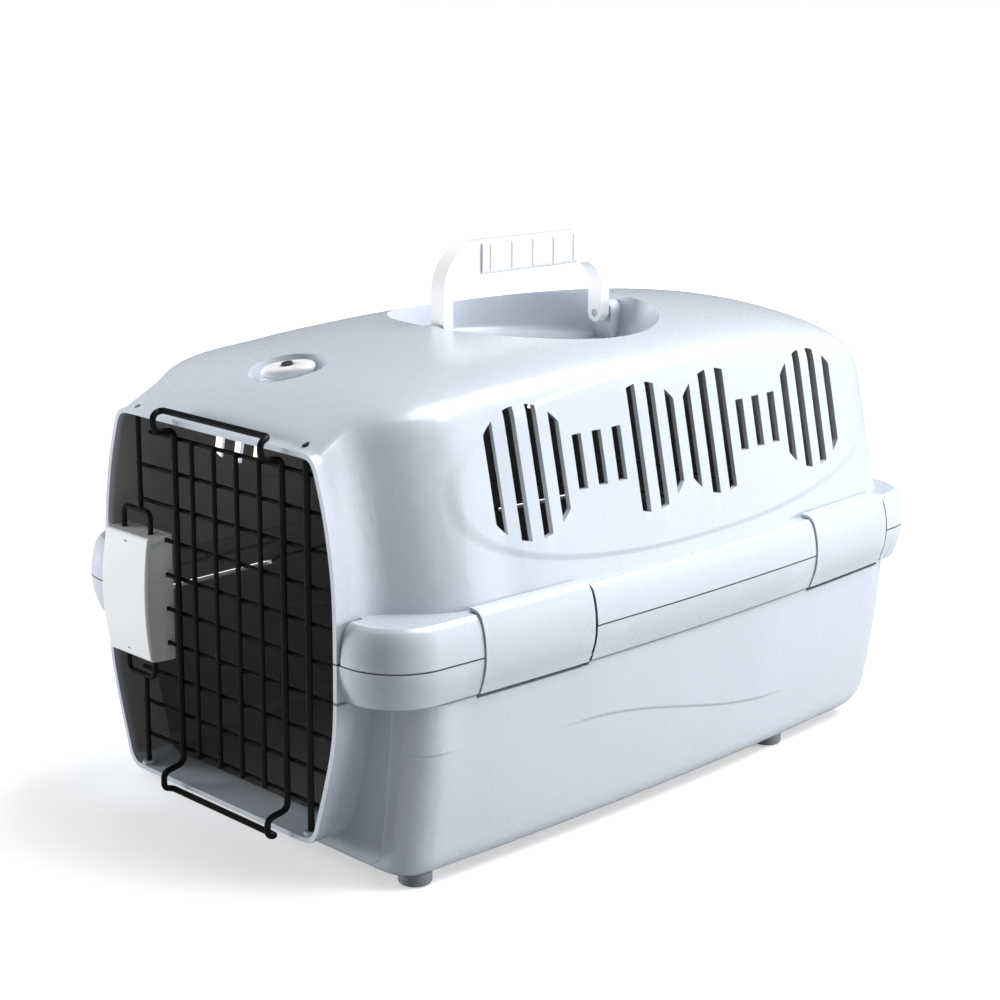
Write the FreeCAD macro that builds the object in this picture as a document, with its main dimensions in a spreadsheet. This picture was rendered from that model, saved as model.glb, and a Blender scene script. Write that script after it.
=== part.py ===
import FreeCAD, Part
import Sketcher
import math
import os
from FreeCAD import Placement, Rotation, Vector

# Two-shell pet transport carrier with a welded wire door.
# Frame: +X to the right (width), -Y to the front (door), +Y to the rear, +Z up.
# Origin on the floor under the middle of the cabin.  Millimetres.

os.makedirs("parts", exist_ok=True)
doc = FreeCAD.newDocument("carrier")

# ---- driving dimensions ------------------------------------------------------
DIMENSIONS = [
    # shells
    ("seam_z", 138.0), ("seam_gap", 0.3), ("wall_thk", 3.0),
    ("belt_half", 159.0), ("belt_rise", 23.5), ("belt_drop", 22.5),
    ("belt_front", 228.6), ("belt_rear", 278.0), ("belt_corner", 38.0),
    ("rim_front", 229.3), ("body_rear", 270.0), ("body_front", 203.0),
    ("roof_top", 297.3), ("base_bottom", 6.3), ("side_bow", 2810.0), ("bow_mid", 24.75),
    ("slot_pitch", 17.0), ("slot_wide", 7.7), ("slot_mid", 36.0),
    ("vent_rad", 38.5), ("vent_mid", 228.6), ("bar_half", 16.0),
    ("dish_rad", 89.0), ("dish_floor", 268.0), ("dish_mid", 24.0),
    # carrying handle
    ("handle_half", 76.0), ("handle_top", 343.5), ("handle_pivot", 286.0),
    ("leg_thk", 7.6), ("leg_wide", 12.0), ("grip_deep", 21.0), ("grip_wide", 15.0),
    ("pin_rad", 2.5), ("pin_clear", 0.05), ("pin_long", 15.0),
    # door
    ("door_plane", 222.0), ("hinge_pos", 77.0), ("latch_pos", 77.0),
    ("mesh_rad", 1.5), ("cross_rad", 1.3), ("hinge_rad", 2.0), ("bail_rad", 1.9),
    ("mesh_pitch", 21.0), ("row_top", 238.2), ("row_pitch", 21.5),
    ("bolt_rad", 1.6), ("bolt_hole", 2.0), ("bolt_plane", 224.6),
    ("box_left", 104.0), ("box_right", 58.5), ("box_low", 98.0), ("box_high", 177.0),
    ("box_front", 233.5), ("box_back", 218.1), ("box_bulge", 3.0), ("plate_thk", 2.4),
    ("spring_rad", 3.4), ("spring_wire", 0.45),
    ("screw_rad", 1.5), ("screw_long", 11.0), ("screw_head_rad", 2.8),
    # side latches
    ("latch_len", 85.6), ("latch_thk", 3.2), ("latch_pin", 1.5),
    ("latch_front_mid", 118.0), ("latch_rear_mid", 187.0),
    # feet
    ("foot_rad", 10.0), ("foot_tall", 8.0), ("foot_side", 121.0),
    ("foot_front", 182.0), ("foot_rear", 144.0),
    # brow knob
    ("knob_rad", 8.5), ("knob_long", 30.0), ("knob_wide", 8.0), ("knob_tall", 6.5),
    ("knob_foot", 3.0), ("knob_bowl", 24.0), ("knob_deep", 10.0), ("knob_pin", 2.0),
    ("knob_pin_long", 17.5), ("knob_pin_head", 3.4), ("head_tall", 1.6),
]
sheet = doc.addObject("Spreadsheet::Sheet", "Dimensions")
for row, (alias, value) in enumerate(DIMENSIONS, 1):
    sheet.set("A%d" % row, alias)
    sheet.set("B%d" % row, str(value))
    sheet.setAlias("B%d" % row, alias)
doc.recompute()


def dim(alias):
    return float(getattr(sheet, alias))


def bind(obj, prop, formula):
    """Drive a property by a formula in which $ stands for the sheet."""
    obj.setExpression(prop, formula.replace("$", "Dimensions."))


# ---- values shared by several pieces -----------------------------------------
RIGHT, REAR, UP = (1, 0, 0), (0, 1, 0), (0, 0, 1)
WALL = dim("wall_thk")
SEAM = dim("seam_z")
SEAM_UP = SEAM + dim("seam_gap") / 2.0          # lower edge of the upper shell
SEAM_LOW = SEAM - dim("seam_gap") / 2.0         # upper edge of the lower shell
BELT_TOP = SEAM + dim("belt_rise")
BELT_LOW = SEAM - dim("belt_drop")
CLEAR = dim("pin_clear")
OVERLAP = 0.1                                   # sinks one pad into the next

HINGE_X, HINGE_Y = dim("hinge_pos"), -dim("door_plane")
BOLT_X, BOLT_Y = -dim("latch_pos"), -dim("bolt_plane")
DISH_Y = dim("dish_mid")
PIVOT_Z = dim("handle_pivot")
HANDLE_HALF = dim("handle_half")

PARTS = []                                      # (object, file name)


def keep(obj, name, place=None):
    obj.Label = name
    if place is not None:
        obj.Placement = place
    PARTS.append((obj, name))


def add_piece(object_name, name, shape):
    obj = doc.addObject("Part::Feature", object_name)
    obj.Shape = shape
    keep(obj, name)


# ---- solids ------------------------------------------------------------------
def box(x0, x1, y0, y1, z0, z1):
    return Part.makeBox(x1 - x0, y1 - y0, z1 - z0, Vector(x0, y0, z0))


def rod(start, direction, radius, length):
    return Part.makeCylinder(radius, length, Vector(*start), Vector(*direction))


def bent_wire(points, radius, bend):
    """Round wire through the points; bends shrink where a stretch is short."""
    pts = [Vector(*p) for p in points]
    edges = []
    last = pts[0]
    for before, knee, after in zip(pts, pts[1:], pts[2:]):
        back = (before - knee).normalize()
        ahead = (after - knee).normalize()
        half_angle = back.getAngle(ahead) / 2.0
        trim = min(bend / math.tan(half_angle), 0.49 * (before - knee).Length,
                   0.49 * (after - knee).Length)
        bend_rad = trim * math.tan(half_angle)
        first, end = knee + back * trim, knee + ahead * trim
        reach = bend_rad / math.sin(half_angle) - bend_rad
        middle = knee + (back + ahead).normalize() * reach
        edges.append(Part.makeLine(last, first))
        edges.append(Part.Arc(first, middle, end).toShape())
        last = end
    edges.append(Part.makeLine(last, pts[-1]))
    heading = (pts[1] - pts[0]).normalize()
    circle = Part.Wire([Part.makeCircle(radius, pts[0], heading)])
    return Part.Wire(edges).makePipeShell([circle], True, True)


# ---- curves of the shells ----------------------------------------------------
def pchip(table, t):
    """Monotone cubic through (t, v) pairs, held constant past both ends."""
    xs = [p[0] for p in table]
    ys = [p[1] for p in table]
    if t <= xs[0]:
        return ys[0]
    if t >= xs[-1]:
        return ys[-1]
    k = 0
    while xs[k + 1] < t:
        k += 1
    steps = [b - a for a, b in zip(xs, xs[1:])]
    grades = [(ys[i + 1] - ys[i]) / steps[i] for i in range(len(steps))]

    def slope(i):
        if i == 0:
            return grades[0]
        if i == len(xs) - 1:
            return grades[-1]
        if grades[i - 1] * grades[i] <= 0:
            return 0.0
        before = 2 * steps[i] + steps[i - 1]
        after = steps[i] + 2 * steps[i - 1]
        return (before + after) / (before / grades[i - 1] + after / grades[i])

    u = (t - xs[k]) / steps[k]
    return (ys[k] * (1 + 2 * u) * (1 - u) ** 2 + slope(k) * steps[k] * u * (1 - u) ** 2
            + ys[k + 1] * u * u * (3 - 2 * u) + slope(k + 1) * steps[k] * u * u * (u - 1))


def bow(y):
    """How far the bowed side has drawn in at y."""
    return (y + dim("bow_mid")) ** 2 / (2 * dim("side_bow"))


def corner(y, start, radius):
    """How far a quarter-round corner beginning at start has drawn in at y."""
    if y <= start:
        return 0.0
    run = min(y - start, radius)
    return radius - math.sqrt(radius * radius - run * run)


def offset_profile(pts, off):
    """Move a half profile inward (towards the cabin) by off."""
    last = len(pts) - 1
    toward = 1.0 if pts[-1][1] > pts[0][1] else -1.0
    out = []
    for i, (x, z) in enumerate(pts):
        before, after = pts[max(i - 1, 0)], pts[min(i + 1, last)]
        run, rise = after[0] - before[0], after[1] - before[1]
        length = math.hypot(run, rise) or 1.0
        normal_x, normal_z = abs(rise) / length, abs(run) / length
        if i == 0:
            normal_x, normal_z = 1.0, 0.0
        if i == last:
            normal_x, normal_z = 0.0, 1.0
        out.append((x - off * normal_x, z - toward * off * normal_z))
    return out


def skin_solid(rows):
    """Solid lofted front to rear through rows of (y, half profile [(x, z)...]).

    Each section is a spline through the mirrored profile, closed by a flat side."""
    wires = []
    for y, half in rows:
        pts = [Vector(x, y, z) for x, z in half]
        pts += [Vector(-x, y, z) for x, z in reversed(half[:-1])]
        n = len(pts) - 1
        curve = Part.BSplineCurve()
        curve.interpolate(Points=pts, Parameters=[i / float(n) for i in range(n + 1)])
        wires.append(Part.Wire([curve.toShape(), Part.makeLine(pts[-1], pts[0])]))
    return Part.makeLoft(wires, True, False)


# Half profiles (x, z), from the seam to the centre line.
TOP_BODY = [
    (146.5, 138), (143.8, 161), (137.4, 190), (129.0, 228), (122.8, 256),
    (120.0, 267), (115.5, 275.5), (107.5, 282), (92.0, 287.6), (70.0, 292.0),
    (46.0, 295.0), (23.0, 296.7), (0, 297.3)]
TOP_RIM = [
    (109.4, 138), (109.3, 161), (107.6, 188), (102.2, 218), (97.0, 236),
    (94.2, 244), (90.8, 249.4), (84.5, 252.2), (72, 252.5), (54, 252.5),
    (36, 252.5), (18, 252.5), (0, 252.5)]
LOW_BODY = [
    (150.0, 138), (152.3, 116), (151.2, 92), (148.8, 66), (145.6, 42),
    (142.6, 24), (140.6, 15.5), (136.5, 9.6), (129.0, 6.8), (110, 6.3),
    (75, 6.3), (38, 6.3), (0, 6.3)]
LOW_RIM = [
    (109.4, 138), (109.2, 119), (108.0, 96), (104.0, 76), (98.6, 57),
    (93.2, 40), (90.4, 32), (86.0, 26.8), (78.0, 24.5), (58, 24.5),
    (38, 24.5), (19, 24.5), (0, 24.5)]

# (y, height of the roof on the centre line)
ROOF = [
    (-229.3, 252.5), (-226, 253.4), (-221, 256.8), (-214, 262.8), (-205, 269.8),
    (-195, 275.4), (-184, 279.4), (-170, 282.6), (-150, 285.8), (-120, 289.2),
    (-90, 292.0), (-50, 295.2), (0, 297.1), (50, 297.3), (100, 296.6),
    (150, 294.2), (190, 290.2), (215, 285.6), (232, 279.2), (245, 270.2),
    (255, 256.6), (262, 239), (266.5, 221), (269, 205), (270, 194)]
# (y, share of the way from the rim's width to the body's width)
WIDEN = [
    (-210, 0), (-206.5, 0.015), (-203, 0.05), (-199, 0.125), (-195, 0.235),
    (-190, 0.395), (-185, 0.545), (-179, 0.70), (-172, 0.835), (-164, 0.94),
    (-156, 1.0)]
# (y, height of the underside on the centre line)
BASE = [
    (-203, 13.0), (-201.5, 10.6), (-199, 8.4), (-195, 6.8), (-190, 6.3),
    (222, 6.3), (232, 8.2), (241, 12.8), (248, 19.6), (254, 29), (259, 41),
    (263, 57), (266, 78), (267.6, 100), (268, 112)]

# Stations y at which each shell has a section.
TOP_STATIONS = [
    -229.3, -226, -221, -215.5, -210, -206.5, -203, -199, -195, -190, -185, -179, -172,
    -164, -156, -140, -110, -70, -20, 35, 90, 140, 180, 205, 220, 232, 242, 250,
    257, 262.5, 266.5, 269, 270]
LOW_STATIONS = [
    -203, -202, -200, -196, -190, -183, -174, -150, -100, -40, 30, 100, 160, 200, 220, 230,
    238, 245, 251, 256, 260, 263.5, 266, 267.5, 268]

TOP_REAR_CORNER = 42.0
LOW_REAR_CORNER = 40.0
LOW_REAR_START = 228.0
LOW_FRONT_CORNER = 22.0
REAR_SQUEEZE_START = 205.0          # inner stations behind this are drawn forward
INNER_FRONT = -250.0                # hollows run out through the front opening
INNER_PAST_SEAM = 2.0               # hollows run past the seam


def top_point(i, y):
    x_body, z_body = TOP_BODY[i]
    x_rim, z_rim = TOP_RIM[i]
    rim_top = TOP_RIM[-1][1]
    roof = pchip(ROOF, y)
    if y <= 0:
        z = z_rim + (z_body - z_rim) * (roof - rim_top) / (dim("roof_top") - rim_top)
    else:
        z = SEAM + (z_body - SEAM) * (roof - SEAM) / (dim("roof_top") - SEAM)
    inward = bow(y) + corner(y, dim("body_rear") - TOP_REAR_CORNER, TOP_REAR_CORNER)
    x_drawn = x_body * (1.0 - inward / TOP_BODY[0][0])
    return x_rim + (x_drawn - x_rim) * pchip(WIDEN, y), z


def low_point(i, y):
    x_body, z_body = LOW_BODY[i]
    base = pchip(BASE, y)
    z = SEAM - (SEAM - z_body) * (SEAM - base) / (SEAM - dim("base_bottom"))
    inward = (bow(y) + corner(y, LOW_REAR_START, LOW_REAR_CORNER)
              + corner(-y, dim("body_front") - LOW_FRONT_CORNER, LOW_FRONT_CORNER))
    return x_body * (1.0 - inward / LOW_BODY[1][0]), z


def low_inner_point(i, y):
    return low_point(i, max(y, -dim("body_front")))


def section(point, y, off, inner_of, z_start):
    """Half profile at y, off inside the skin; inner_of picks the inner height."""
    count = len(TOP_BODY)
    if off == 0:
        half = [point(i, y) for i in range(count)]
    else:
        half = []
        for i in range(count):
            ahead, behind = point(i, y - off), point(i, y + off)
            half.append((min(ahead[0], behind[0]), inner_of(ahead[1], behind[1])))
        half = offset_profile(half, off)
    half[0] = (half[0][0], z_start)
    half[-1] = (0.0, half[-1][1])
    return half


def inner_stations(stations):
    """Draw the rear stations forward so that the inner skin ends a wall short."""
    start, last = REAR_SQUEEZE_START, stations[-1]
    return [y if y < start else start + (y - start) * (last - WALL - start) / (last - start)
            for y in stations]


def top_outer():
    return skin_solid([(y, section(top_point, y, 0, min, SEAM_UP)) for y in TOP_STATIONS])


def top_inner():
    return skin_solid([
        (y, section(top_point, max(y, -dim("rim_front")), WALL, min, SEAM_UP - INNER_PAST_SEAM))
        for y in [INNER_FRONT] + inner_stations(TOP_STATIONS)])


def low_outer():
    return skin_solid([(y, section(low_point, y, 0, max, SEAM_LOW)) for y in LOW_STATIONS])


def low_inner():
    stations = [-200.0] + inner_stations([y for y in LOW_STATIONS if y > -198])
    return skin_solid([
        (y, section(low_inner_point, y, WALL, max, SEAM_LOW + INNER_PAST_SEAM))
        for y in stations])


def prism_y(half, y0, y1):
    """Solid of one half profile from y0 to y1."""
    return skin_solid([(y0 + (y1 - y0) * share, half) for share in (0.0, 0.34, 0.67, 1.0)])


# ---- belt: a hollow flange round front corners, sides and rear ---------------
# Levels are (inset from the belt's widest outline, z).
BELT_UP = [(0.0, SEAM_UP), (0.5, SEAM + 7), (1.8, SEAM + 14), (4.0, SEAM + 20),
           (7.2, BELT_TOP)]
BELT_UP_INNER = [(3.0, SEAM - 1), (3.5, SEAM + 7), (4.8, SEAM + 14), (6.4, BELT_TOP - WALL)]
BELT_DOWN = [(5.0, BELT_LOW), (3.6, BELT_LOW + 4), (1.5, SEAM - 12), (0.4, SEAM - 6),
             (0.0, SEAM_LOW)]
BELT_DOWN_INNER = [(7.0, BELT_LOW + WALL), (4.5, SEAM - 12), (3.4, SEAM - 6), (3.0, SEAM + 1)]


def side_x(y, inset=0.0):
    return dim("belt_half") - inset - bow(y)


def belt_wire(inset, z):
    front, rear = -(dim("belt_front") - inset), dim("belt_rear") - inset
    r = dim("belt_corner") - inset
    y_front, y_rear = front + r, rear - r
    y_mid = (y_front + y_rear) / 2
    x_front, x_mid, x_rear = [side_x(y, inset) for y in (y_front, y_mid, y_rear)]
    diagonal = r * math.sqrt(0.5)

    def line(*pts):
        return Part.makeLine(*[Vector(x, y, z) for x, y in pts])

    def arc(*pts):
        return Part.Arc(*[Vector(x, y, z) for x, y in pts]).toShape()

    x_corner = x_rear - r + diagonal            # mid points of the round corners
    x_nose = x_front - r + diagonal
    return Part.Wire([
        arc((x_front, y_front), (x_mid, y_mid), (x_rear, y_rear)),
        arc((x_rear, y_rear), (x_corner, y_rear + diagonal), (x_rear - r, rear)),
        line((x_rear - r, rear), (r - x_rear, rear)),
        arc((r - x_rear, rear), (-x_corner, y_rear + diagonal), (-x_rear, y_rear)),
        arc((-x_rear, y_rear), (-x_mid, y_mid), (-x_front, y_front)),
        arc((-x_front, y_front), (-x_nose, y_front - diagonal), (r - x_front, front)),
        line((r - x_front, front), (x_front - r, front)),
        arc((x_front - r, front), (x_nose, y_front - diagonal), (x_front, y_front))])


def belt_solid(levels):
    return Part.makeLoft([belt_wire(inset, z) for inset, z in levels], True, False)


# ---- side latch places and their pockets in the belt -------------------------
LATCHES = [                                     # (name, middle y, side sign)
    ("side_latch_front_right", -dim("latch_front_mid"), 1),
    ("side_latch_rear_right", dim("latch_rear_mid"), 1),
    ("side_latch_front_left", -dim("latch_front_mid"), -1),
    ("side_latch_rear_left", dim("latch_rear_mid"), -1)]
LATCH_HALF = dim("latch_len") / 2.0
LATCH_HINGE_IN = 5.6                            # hinge line inside the belt's chord
LATCH_HINGE_Z = BELT_LOW + 4.2
POCKET_DEEP = 4.4
POCKET_START = -LATCH_HALF - 0.4
POCKET_END = LATCH_HALF + 3.2                   # leaves a finger gap behind the latch
POCKET_WALL = 4.0                               # solid belt at both ends of a pocket


def latch_frame(mid, side):
    """Local frame: x outward, y along the chord of the bowed side, z up."""
    x_front, x_rear = side_x(mid - LATCH_HALF), side_x(mid + LATCH_HALF)
    slope = math.degrees(math.atan2(x_rear - x_front, 2 * LATCH_HALF))
    return Placement(Vector(side * (x_front + x_rear) / 2.0, mid, 0),
                     Rotation(Vector(0, 0, 1), -side * slope))


def local_box(mid, side, out0, out1, y0, y1, z0, z1):
    """Box in a latch frame; out0 and out1 are measured outward from the chord."""
    low, high = (out0, out1) if side > 0 else (-out1, -out0)
    block = box(low, high, y0, y1, z0, z1)
    block.Placement = latch_frame(mid, side).multiply(block.Placement)
    return block


def hinge_rod(mid, side, radius, y0, y1):
    """Rod on a latch's hinge line."""
    bar = rod((-side * LATCH_HINGE_IN, y0, LATCH_HINGE_Z), REAR, radius, y1 - y0)
    bar.Placement = latch_frame(mid, side).multiply(bar.Placement)
    return bar


def latch_pockets():
    levels = BELT_DOWN[:-1] + [(0.0, SEAM)] + BELT_UP[1:]
    floor = belt_solid([(inset + POCKET_DEEP, z) for inset, z in levels])
    above = POCKET_DEEP + BELT_UP[-1][0]
    floor = floor.fuse(belt_solid([(above, BELT_TOP - 0.01), (above, BELT_TOP + 20)]))
    return [local_box(mid, side, -14.0, 6.0, POCKET_START, POCKET_END,
                      BELT_LOW - 3, BELT_TOP + 6).cut(floor)
            for _, mid, side in LATCHES]


POCKETS = latch_pockets()
# the belt stays solid round the pockets
BLOCKS = [local_box(mid, side, -15.0, 3.0, POCKET_START - POCKET_WALL,
                    POCKET_END + POCKET_WALL, BELT_LOW, BELT_TOP)
          for _, mid, side in LATCHES]


# ---- dish for the handle, bowl for the brow knob, vent slots -----------------
BOWL_TURN = Rotation(Vector(1, 0, 0), 12.0)
BOWL_AXIS = BOWL_TURN.multVec(Vector(0, 0, 1))
BOWL_FLOOR = Vector(0, -172.0, 282.6) - BOWL_AXIS * dim("knob_deep")


def dish(grow=0.0):
    """Round dish in the roof, its sides and floor moved out by grow."""
    flare, top = 5.0, 320.0
    floor = dim("dish_floor") - grow
    low_rad = dim("dish_rad") - flare + grow
    top_rad = low_rad + flare / (dim("roof_top") - floor) * (top - floor)
    return Part.makeCone(low_rad, top_rad, top - floor, Vector(0, DISH_Y, floor),
                         Vector(0, 0, 1))


def rounded_dish():
    cut = dish()
    # guards against the fillet of the floor edge failing: the edge then stays sharp
    try:
        floor_edge = [e for e in cut.Edges
                      if abs(e.BoundBox.ZMax - dim("dish_floor")) < 0.01
                      and e.BoundBox.XLength > 20]
        cut = cut.makeFillet(5.0, floor_edge)
    except Exception:
        pass
    return cut


def bowl(grow=0.0):
    """Tilted bowl in the brow, its sides and floor moved out by grow."""
    rad, flare = dim("knob_bowl") + grow, 3.5
    return Part.makeCone(rad - flare, rad + flare, dim("knob_deep") + 10.0 + grow,
                         BOWL_FLOOR - BOWL_AXIS * grow, BOWL_AXIS)


# Slot number -> centre of its circle, counted in slots; all others are short bars.
SLOT_COUNT = 20
SLOT_CIRCLES = {0: 1.5, 1: 1.5, 2: 1.5, 3: 1.5, 7: 7.5, 8: 7.5, 9: 7.5,
                10: 11.5, 11: 11.5, 12: 11.5, 16: 17.5, 17: 17.5, 18: 17.5, 19: 17.5}


def vent_slots():
    """Four slotted circles joined by short bars, on the right side."""
    x_in, x_out, slot_tall = 60, 260, 60
    half, bar, z = dim("slot_wide") / 2, dim("bar_half"), dim("vent_mid")

    def slot_y(place):
        return dim("slot_mid") + dim("slot_pitch") * (place - (SLOT_COUNT - 1) / 2.0)

    tools = []
    for i in range(SLOT_COUNT):
        y = slot_y(i)
        if i in SLOT_CIRCLES:
            disc = rod((x_in, slot_y(SLOT_CIRCLES[i]), z), RIGHT, dim("vent_rad"), x_out - x_in)
            tools.append(disc.common(box(x_in, x_out, y - half, y + half,
                                         z - slot_tall, z + slot_tall)))
        else:
            tools.append(box(x_in, x_out, y - half, y + half, z - bar, z + bar))
    return Part.makeCompound(tools)


# ---- shells ------------------------------------------------------------------
def sound(shape):
    """Heal tolerances left by the booleans and keep the one real body."""
    healed = shape.copy()
    if not healed.isValid():
        healed.fix(1e-3, 1e-4, 1e-2)
    return max(healed.Solids, key=lambda solid: solid.Volume)


def handle_bosses():
    """Pivot bosses standing in the dish, in front of and behind the handle."""
    radius = 7.5
    bosses = []
    for sign in (1, -1):
        y0, y1 = sorted(DISH_Y + sign * (HANDLE_HALF + reach) for reach in (1.0, 13.0))
        boss = box(-radius, radius, y0, y1, dim("dish_floor") - 1.5, PIVOT_Z)
        boss = boss.fuse(rod((0, y0, PIVOT_Z), REAR, radius, y1 - y0))
        bosses.append(boss.common(dish(2.0)))
    return bosses


def handle_pin_holes():
    holes = []
    for sign in (1, -1):
        y0, y1 = sorted(DISH_Y + sign * (HANDLE_HALF + reach) for reach in (-12.0, 9.5))
        holes.append(rod((0, y0, PIVOT_Z), REAR, dim("pin_rad") + CLEAR, y1 - y0))
    return holes


def door_holes(z, length):
    """Upright holes for the hinge rod and for the latch bolt."""
    return [rod((HINGE_X, HINGE_Y, z), UP, dim("hinge_rad") + CLEAR, length),
            rod((BOLT_X, BOLT_Y, z), UP, dim("bolt_hole"), length)]


def upper_shell():
    ring = belt_solid(BELT_UP).cut(belt_solid(BELT_UP_INNER).cut(BLOCKS))
    # the belt leaves the door opening free
    ring = ring.cut(box(-111.8, 111.8, -240, -212, SEAM - 5, BELT_TOP + 5))
    outer = top_outer()
    shell = outer.fuse(ring).cut(top_inner())
    shell = shell.fuse([dish(WALL).common(outer), bowl(WALL).common(outer)])
    knob_hole = Part.makeCylinder(dim("knob_pin") + CLEAR, 30.0,
                                  BOWL_FLOOR - BOWL_AXIS * 15.0, BOWL_AXIS)
    shell = shell.cut([rounded_dish(), bowl(), knob_hole] + POCKETS)
    shell = shell.cut(door_holes(246, 16.0))
    shell = shell.fuse(handle_bosses())
    shell = shell.cut(handle_pin_holes())
    slots = vent_slots()
    shell = shell.cut([slots, slots.mirror(Vector(0, 0, 0), Vector(1, 0, 0))])
    return sound(shell)


FEET = [(dim("foot_side"), -dim("foot_front")), (-dim("foot_side"), -dim("foot_front")),
        (dim("foot_side") - 2, dim("foot_rear")), (-dim("foot_side") + 2, dim("foot_rear"))]


def lower_shell():
    ring = belt_solid(BELT_DOWN).cut(belt_solid(BELT_DOWN_INNER).cut(BLOCKS))
    # the door surround is a tube of the rim's own section
    rim_outer = prism_y([(LOW_RIM[0][0], SEAM_LOW)] + LOW_RIM[1:], -dim("rim_front"), -190.0)
    rim_profile = offset_profile(LOW_RIM, WALL)
    rim_profile[0] = (rim_profile[0][0], SEAM_LOW + INNER_PAST_SEAM)
    rim_inner = prism_y(rim_profile, INNER_FRONT, -180.0)
    shell = low_outer().fuse([rim_outer, ring])
    # the cabin wall is thicker behind each latch hinge
    thick = [local_box(mid, side, -13.6, 3.0, POCKET_START - POCKET_WALL,
                       POCKET_END + POCKET_WALL, BELT_LOW - 4.0, LATCH_HINGE_Z + 7.0)
             for _, mid, side in LATCHES]
    shell = shell.cut([low_inner().cut(thick), rim_inner])

    tools = []
    for (_, mid, side), pocket in zip(LATCHES, POCKETS):
        # room for the rolled lower edge, open underneath
        tools += [pocket, hinge_rod(mid, side, 5.4, POCKET_START, POCKET_END),
                  local_box(mid, side, -LATCH_HINGE_IN - 4.2, 4.0, POCKET_START, POCKET_END,
                            BELT_LOW - 2, LATCH_HINGE_Z)]
    for _, mid, side in LATCHES:                # pin holes in both ends of each pocket
        tools.append(hinge_rod(mid, side, dim("latch_pin") + CLEAR,
                               POCKET_START - 3.0, POCKET_END + 3.0))
    shell = shell.cut(tools)
    # raised bushes on the sill for the hinge rod and the latch bolt
    shell = shell.fuse([rod((x, y, 25.5), UP, 4.2, 3.6)
                        for x, y in ((HINGE_X, HINGE_Y), (BOLT_X, BOLT_Y))])
    shell = shell.cut(door_holes(20.0, 14.0))
    # seats for the feet
    shell = shell.cut([rod((x, y, -1.0), UP, dim("foot_rad") + 0.1, dim("foot_tall") + 1.05)
                       for x, y in FEET])
    return sound(shell)


add_piece("UpperShell", "upper_shell", upper_shell())
add_piece("LowerShell", "lower_shell", lower_shell())

# ---- side latches: curved plates that follow the belt, hinged at the bottom --
LATCH_OUTER = [                                 # (inset from the belt outline, z)
    (3.9, BELT_LOW + 0.3), (2.7, BELT_LOW + 4), (0.4, SEAM - 12), (-0.8, SEAM - 6),
    (-1.1, SEAM), (-0.7, SEAM + 7), (0.5, SEAM + 14), (2.2, SEAM + 19.5),
    (4.3, BELT_TOP), (7.0, BELT_TOP + 1.9), (9.4, BELT_TOP + 2.5)]
LATCH_ROLL_RAD = 3.1


def side_latches():
    thick = dim("latch_thk")
    outer = belt_solid(LATCH_OUTER)
    inner = belt_solid([(LATCH_OUTER[0][0] + thick + 1.0, BELT_LOW - 2.0)]
                       + [(inset + thick, z) for inset, z in LATCH_OUTER[:-2]]
                       + [(8.2, BELT_TOP + 0.35)])
    for name, mid, side in LATCHES:
        latch = local_box(mid, side, -13.4, 5.0, -LATCH_HALF, LATCH_HALF,
                          BELT_LOW - 1, BELT_TOP + 4)
        latch = latch.common(outer).cut(inner)
        latch = latch.fuse(hinge_rod(mid, side, LATCH_ROLL_RAD, -LATCH_HALF, LATCH_HALF))
        latch = latch.cut(hinge_rod(mid, side, dim("latch_pin") + CLEAR,
                                    -LATCH_HALF - 1, LATCH_HALF + 1))
        add_piece(name, name, latch)


side_latches()
add_piece("SideLatchPins", "side_latch_pins", Part.makeCompound([
    hinge_rod(mid, side, dim("latch_pin"), POCKET_START - 2.8, POCKET_END + 2.8)
    for _, mid, side in LATCHES]))


# ---- sketches and features of the PartDesign bodies --------------------------
def new_body(name):
    return doc.addObject("PartDesign::Body", name)


def new_sketch(body, name, role="XY_Plane", lift=0.0):
    """Sketch on an origin plane, lifted along the plane's normal."""
    sketch = body.newObject("Sketcher::SketchObject", name)
    plane = next(f for f in body.Origin.OriginFeatures if f.Role == role)
    sketch.AttachmentSupport = [(plane, "")]
    sketch.MapMode = "FlatFace"
    sketch.AttachmentOffset = Placement(Vector(0, 0, lift), Rotation())
    return sketch


def constrain(sketch, formula, *args):
    """Add a constraint whose value the formula drives."""
    number = sketch.addConstraint(Sketcher.Constraint(*args))
    bind(sketch, "Constraints[%d]" % number, formula)


def add_circle(sketch, formula, x=0.0, y=0.0):
    """Circle whose radius the formula drives, about the origin or a place off both axes."""
    circle = sketch.addGeometry(Part.Circle(Vector(x, y, 0), Vector(0, 0, 1), 1.0), False)
    if x == 0 and y == 0:
        sketch.addConstraint(Sketcher.Constraint("Coincident", circle, 3, -1, 1))
    else:
        sketch.addConstraint(Sketcher.Constraint("DistanceX", -1, 1, circle, 3, x))
        sketch.addConstraint(Sketcher.Constraint("DistanceY", -1, 1, circle, 3, y))
    constrain(sketch, formula, "Radius", circle, 1.0)


def add_rect(sketch, x0, y0, x1, y1, formulas):
    """Rectangle; the formulas drive x0, y0, x1 and y1."""
    corners = [Vector(x0, y0, 0), Vector(x1, y0, 0), Vector(x1, y1, 0), Vector(x0, y1, 0)]
    sides = [sketch.addGeometry(Part.LineSegment(corners[i], corners[(i + 1) % 4]), False)
             for i in range(4)]
    for i in range(4):
        sketch.addConstraint(
            Sketcher.Constraint("Coincident", sides[i], 2, sides[(i + 1) % 4], 1))
    for i, kind in ((0, "Horizontal"), (2, "Horizontal"), (1, "Vertical"), (3, "Vertical")):
        sketch.addConstraint(Sketcher.Constraint(kind, sides[i]))
    edges = (("DistanceX", sides[0], x0), ("DistanceY", sides[0], y0),
             ("DistanceX", sides[2], x1), ("DistanceY", sides[2], y1))
    for (kind, side, value), formula in zip(edges, formulas):
        constrain(sketch, formula, kind, -1, 1, side, 1, value)


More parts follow.
